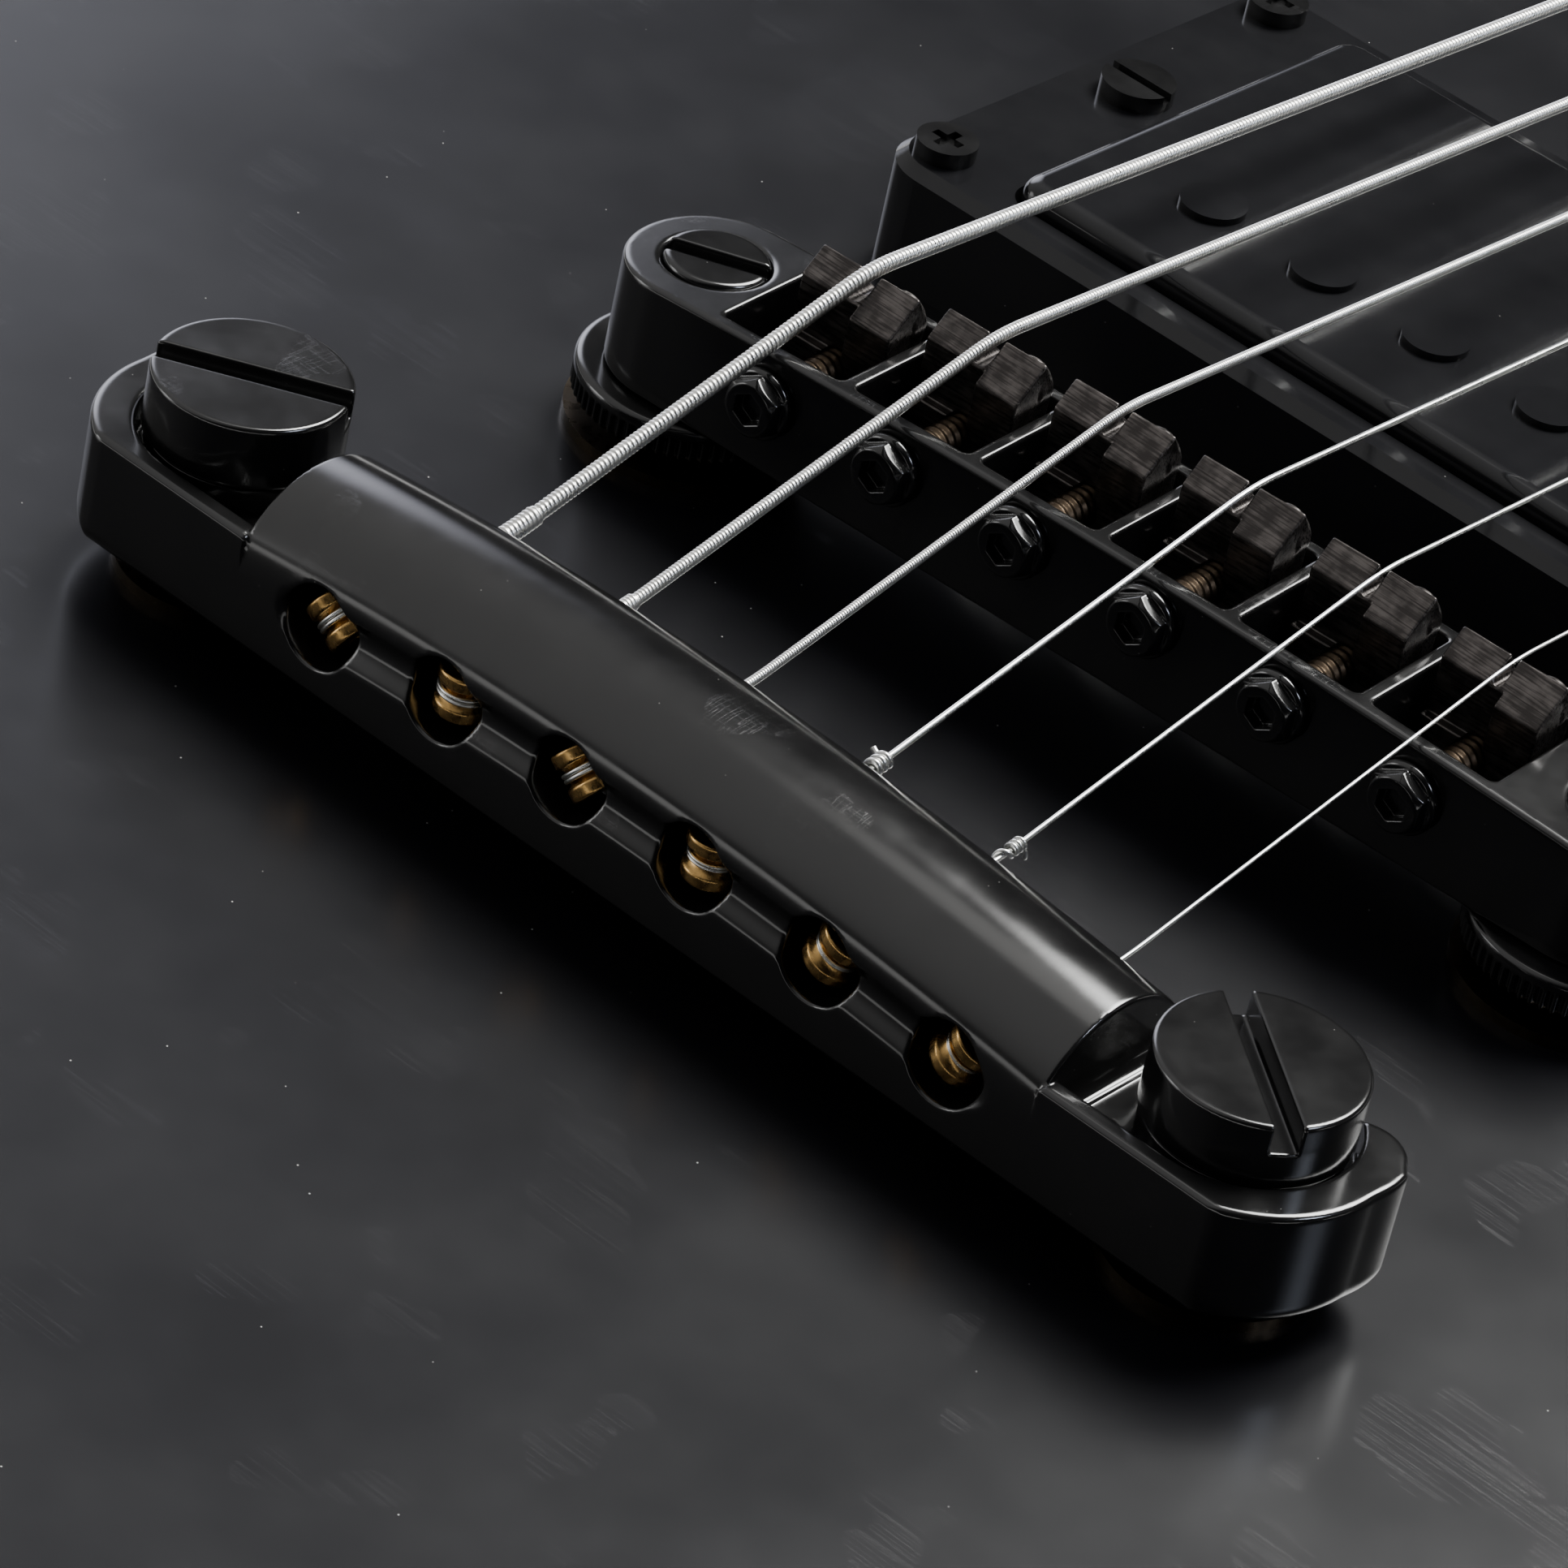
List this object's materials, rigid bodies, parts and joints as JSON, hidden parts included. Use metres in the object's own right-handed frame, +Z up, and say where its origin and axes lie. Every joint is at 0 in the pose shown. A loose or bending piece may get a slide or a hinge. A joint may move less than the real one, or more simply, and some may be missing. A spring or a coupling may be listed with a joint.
{
  "type": "electric guitar",
  "caption": "Solid-body electric guitar with stop tailpiece, tune-o-matic-type bridge with sliding saddles, set neck, angled headstock, two pickups and working controls.",
  "frame": {"origin": "centre of the footprint at floor level, as the guitar lies on its back", "axes": "+Y from the tail to the headstock, +Z up out of the body top, +X to the treble side"},
  "size_m": [0.3218, 0.9584, 0.0711],
  "materials": {
    "gloss_black_wood": "black polyurethane, mirror gloss",
    "fingerboard_wood": "dark oiled hardwood",
    "fret_wire": "polished nickel silver",
    "marker_pearl": "pearl plastic",
    "nut_bone": "black self-lubricating nut",
    "steel": "plain steel",
    "black_hardware": "black nickel plate, gloss",
    "bronze_bushing": "dark plated brass",
    "string_nickel": "nickel wound and plain steel",
    "ball_brass": "polished brass",
    "saddle_metal": "worn dark plate, satin",
    "screw_brass": "dark brass screw, black plated head",
    "black_plastic": "black plastic",
    "wire_cloth": "braided screened lead"
  },
  "bodies": {
    "guitar": {"ball_ends": "ball_brass", "body_bass_half": "gloss_black_wood", "body_treble_half": "gloss_black_wood", "cover_plates": "black_plastic", "fingerboard": "fingerboard_wood", "fret_markers": "marker_pearl", "frets": "fret_wire", "neck": "gloss_black_wood", "nut": "nut_bone", "output_jack": "steel", "pickup_rings": "black_plastic", "pickup_screws": "black_hardware", "plain_strings": "string_nickel", "potentiometers": "steel", "selector_switch": "black_plastic", "strap_buttons": "black_hardware", "stud_bushings": "bronze_bushing", "tailpiece": "black_hardware", "tailpiece_caps": "black_hardware", "tailpiece_studs": "black_hardware", "truss_rod": "steel", "tuner_housings": "black_hardware", "wiring": "wire_cloth", "wood_screws": "black_hardware", "wound_strings": "string_nickel"},
    "bridge": {"bridge_frame": "black_hardware"},
    "bridge_post_bass": {"bridge_post_bass": "black_hardware"},
    "bridge_post_treble": {"bridge_post_treble": "black_hardware"},
    "saddle_1": {"saddle_1": "saddle_metal"},
    "saddle_screw_1": {"saddle_screw_1": "screw_brass"},
    "saddle_2": {"saddle_2": "saddle_metal"},
    "saddle_screw_2": {"saddle_screw_2": "screw_brass"},
    "saddle_3": {"saddle_3": "saddle_metal"},
    "saddle_screw_3": {"saddle_screw_3": "screw_brass"},
    "saddle_4": {"saddle_4": "saddle_metal"},
    "saddle_screw_4": {"saddle_screw_4": "screw_brass"},
    "saddle_5": {"saddle_5": "saddle_metal"},
    "saddle_screw_5": {"saddle_screw_5": "screw_brass"},
    "saddle_6": {"saddle_6": "saddle_metal"},
    "saddle_screw_6": {"saddle_screw_6": "screw_brass"},
    "tuner_post_1": {"tuner_post_1": "black_hardware"},
    "tuner_button_1": {"tuner_button_1": "black_hardware"},
    "tuner_post_2": {"tuner_post_2": "black_hardware"},
    "tuner_button_2": {"tuner_button_2": "black_hardware"},
    "tuner_post_3": {"tuner_post_3": "black_hardware"},
    "tuner_button_3": {"tuner_button_3": "black_hardware"},
    "tuner_post_4": {"tuner_post_4": "black_hardware"},
    "tuner_button_4": {"tuner_button_4": "black_hardware"},
    "tuner_post_5": {"tuner_post_5": "black_hardware"},
    "tuner_button_5": {"tuner_button_5": "black_hardware"},
    "tuner_post_6": {"tuner_post_6": "black_hardware"},
    "tuner_button_6": {"tuner_button_6": "black_hardware"},
    "bridge_volume_knob": {"bridge_volume_knob": "black_plastic"},
    "neck_volume_knob": {"neck_volume_knob": "black_plastic"},
    "tone_knob": {"tone_knob": "black_plastic"},
    "toggle_lever": {"toggle_lever": "black_plastic"},
    "bridge_pickup": {"bridge_pickup": "black_plastic", "bridge_pickup_springs": "steel"},
    "neck_pickup": {"neck_pickup": "black_plastic", "neck_pickup_springs": "steel"}
  },
  "joints": [
    {"name": "bridge_height", "type": "slide", "parent": "guitar", "child": "bridge", "axis": [0, -0.0272, 0.9996], "range_m": [-0.0012, 0]},
    {"name": "bass_post_turn", "type": "hinge", "parent": "bridge", "child": "bridge_post_bass", "pos_m": [-0.0361, -0.32117, 0.05245], "axis": [0, -0.0272, 0.9996], "range_deg": [-345.61, 0.01]},
    {"name": "treble_post_turn", "type": "hinge", "parent": "bridge", "child": "bridge_post_treble", "pos_m": [0.03764, -0.31827, 0.05253], "axis": [0, -0.0272, 0.9996], "range_deg": [-345.61, 0.01]},
    {"name": "saddle_1_slide", "type": "slide", "parent": "bridge", "child": "saddle_1", "axis": [-0.0393, 0.9989, 0.0272], "range_m": [-0.0032, 0.0007]},
    {"name": "saddle_screw_1_turn", "type": "hinge", "parent": "bridge", "child": "saddle_screw_1", "pos_m": [-0.02589, -0.32711, 0.05737], "axis": [-0.0393, 0.9989, 0.0272], "range_deg": [-360.5, 1646.21]},
    {"name": "saddle_2_slide", "type": "slide", "parent": "bridge", "child": "saddle_2", "axis": [-0.0393, 0.9989, 0.0272], "range_m": [-0.0032, 0.0007]},
    {"name": "saddle_screw_2_turn", "type": "hinge", "parent": "bridge", "child": "saddle_screw_2", "pos_m": [-0.01545, -0.32672, 0.0581], "axis": [-0.0393, 0.9989, 0.0272], "range_deg": [-360.5, 1646.21]},
    {"name": "saddle_3_slide", "type": "slide", "parent": "bridge", "child": "saddle_3", "axis": [-0.0393, 0.9989, 0.0272], "range_m": [-0.0032, 0.0007]},
    {"name": "saddle_screw_3_turn", "type": "hinge", "parent": "bridge", "child": "saddle_screw_3", "pos_m": [-0.00501, -0.32632, 0.05847], "axis": [-0.0393, 0.9989, 0.0272], "range_deg": [-360.5, 1646.21]},
    {"name": "saddle_4_slide", "type": "slide", "parent": "bridge", "child": "saddle_4", "axis": [-0.0393, 0.9989, 0.0272], "range_m": [-0.0032, 0.0007]},
    {"name": "saddle_screw_4_turn", "type": "hinge", "parent": "bridge", "child": "saddle_screw_4", "pos_m": [0.00543, -0.32591, 0.05848], "axis": [-0.0393, 0.9989, 0.0272], "range_deg": [-360.5, 1646.21]},
    {"name": "saddle_5_slide", "type": "slide", "parent": "bridge", "child": "saddle_5", "axis": [-0.0393, 0.9989, 0.0272], "range_m": [-0.0032, 0.0007]},
    {"name": "saddle_screw_5_turn", "type": "hinge", "parent": "bridge", "child": "saddle_screw_5", "pos_m": [0.01587, -0.32549, 0.05814], "axis": [-0.0393, 0.9989, 0.0272], "range_deg": [-360.5, 1646.21]},
    {"name": "saddle_6_slide", "type": "slide", "parent": "bridge", "child": "saddle_6", "axis": [-0.0393, 0.9989, 0.0272], "range_m": [-0.0032, 0.0007]},
    {"name": "saddle_screw_6_turn", "type": "hinge", "parent": "bridge", "child": "saddle_screw_6", "pos_m": [0.02632, -0.32506, 0.05743], "axis": [-0.0393, 0.9989, 0.0272], "range_deg": [-360.5, 1646.21]},
    {"name": "tuner_button_1_turn", "type": "hinge", "parent": "guitar", "child": "tuner_button_1", "pos_m": [-0.02503, 0.34525, 0.02884], "axis": [-1, 0, 0], "continuous": true},
    {"name": "tuner_post_1_turn", "type": "hinge", "parent": "guitar", "child": "tuner_post_1", "pos_m": [-0.02503, 0.35683, 0.04658], "axis": [0, 0.2392, 0.971], "continuous": true},
    {"name": "tuner_button_2_turn", "type": "hinge", "parent": "guitar", "child": "tuner_button_2", "pos_m": [-0.02853, 0.38603, 0.01879], "axis": [-1, 0, 0], "continuous": true},
    {"name": "tuner_post_2_turn", "type": "hinge", "parent": "guitar", "child": "tuner_post_2", "pos_m": [-0.02853, 0.39761, 0.03653], "axis": [0, 0.2392, 0.971], "continuous": true},
    {"name": "tuner_button_3_turn", "type": "hinge", "parent": "guitar", "child": "tuner_button_3", "pos_m": [-0.03203, 0.42681, 0.00874], "axis": [-1, 0, 0], "continuous": true},
    {"name": "tuner_post_3_turn", "type": "hinge", "parent": "guitar", "child": "tuner_post_3", "pos_m": [-0.03203, 0.43839, 0.02649], "axis": [0, 0.2392, 0.971], "continuous": true},
    {"name": "tuner_button_4_turn", "type": "hinge", "parent": "guitar", "child": "tuner_button_4", "pos_m": [0.03197, 0.42681, 0.00874], "axis": [1, 0, 0], "continuous": true},
    {"name": "tuner_post_4_turn", "type": "hinge", "parent": "guitar", "child": "tuner_post_4", "pos_m": [0.03197, 0.43839, 0.02649], "axis": [0, 0.2392, 0.971], "continuous": true},
    {"name": "tuner_button_5_turn", "type": "hinge", "parent": "guitar", "child": "tuner_button_5", "pos_m": [0.02847, 0.38603, 0.01879], "axis": [1, 0, 0], "continuous": true},
    {"name": "tuner_post_5_turn", "type": "hinge", "parent": "guitar", "child": "tuner_post_5", "pos_m": [0.02847, 0.39761, 0.03653], "axis": [0, 0.2392, 0.971], "continuous": true},
    {"name": "tuner_button_6_turn", "type": "hinge", "parent": "guitar", "child": "tuner_button_6", "pos_m": [0.02497, 0.34525, 0.02884], "axis": [1, 0, 0], "continuous": true},
    {"name": "tuner_post_6_turn", "type": "hinge", "parent": "guitar", "child": "tuner_post_6", "pos_m": [0.02497, 0.35683, 0.04658], "axis": [0, 0.2392, 0.971], "continuous": true},
    {"name": "bridge_volume_knob_turn", "type": "hinge", "parent": "guitar", "child": "bridge_volume_knob", "pos_m": [0.08797, -0.32911, 0.06554], "axis": [0, -0.0272, 0.9996], "range_deg": [-150, 150]},
    {"name": "neck_volume_knob_turn", "type": "hinge", "parent": "guitar", "child": "neck_volume_knob", "pos_m": [0.11197, -0.3611, 0.06467], "axis": [0, -0.0272, 0.9996], "range_deg": [-150, 150]},
    {"name": "tone_knob_turn", "type": "hinge", "parent": "guitar", "child": "tone_knob", "pos_m": [0.08597, -0.39308, 0.0638], "axis": [0, -0.0272, 0.9996], "range_deg": [-150, 150]},
    {"name": "toggle_tilt", "type": "hinge", "parent": "guitar", "child": "toggle_lever", "pos_m": [-0.10403, -0.14455, 0.04756], "axis": [1, 0, 0], "range_deg": [-14, 14]},
    {"name": "bridge_pickup_height", "type": "slide", "parent": "guitar", "child": "bridge_pickup", "axis": [0, -0.0272, 0.9996], "range_m": [-0.0025, 0]},
    {"name": "neck_pickup_height", "type": "slide", "parent": "guitar", "child": "neck_pickup", "axis": [0, -0.0272, 0.9996], "range_m": [-0.0025, 0]}
  ],
  "couplings": [
    {"joint": "bass_post_turn", "follows": "bridge_height", "rad_per_m": 5026.5},
    {"joint": "treble_post_turn", "follows": "bridge_height", "rad_per_m": 5026.5},
    {"joint": "saddle_screw_1_turn", "follows": "saddle_1_slide", "rad_per_m": -8976},
    {"joint": "saddle_screw_2_turn", "follows": "saddle_2_slide", "rad_per_m": -8976},
    {"joint": "saddle_screw_3_turn", "follows": "saddle_3_slide", "rad_per_m": -8976},
    {"joint": "saddle_screw_4_turn", "follows": "saddle_4_slide", "rad_per_m": -8976},
    {"joint": "saddle_screw_5_turn", "follows": "saddle_5_slide", "rad_per_m": -8976},
    {"joint": "saddle_screw_6_turn", "follows": "saddle_6_slide", "rad_per_m": -8976},
    {"joint": "tuner_post_1_turn", "follows": "tuner_button_1_turn", "ratio": -0.066667},
    {"joint": "tuner_post_2_turn", "follows": "tuner_button_2_turn", "ratio": -0.066667},
    {"joint": "tuner_post_3_turn", "follows": "tuner_button_3_turn", "ratio": -0.066667},
    {"joint": "tuner_post_4_turn", "follows": "tuner_button_4_turn", "ratio": 0.066667},
    {"joint": "tuner_post_5_turn", "follows": "tuner_button_5_turn", "ratio": 0.066667},
    {"joint": "tuner_post_6_turn", "follows": "tuner_button_6_turn", "ratio": 0.066667}
  ]
}
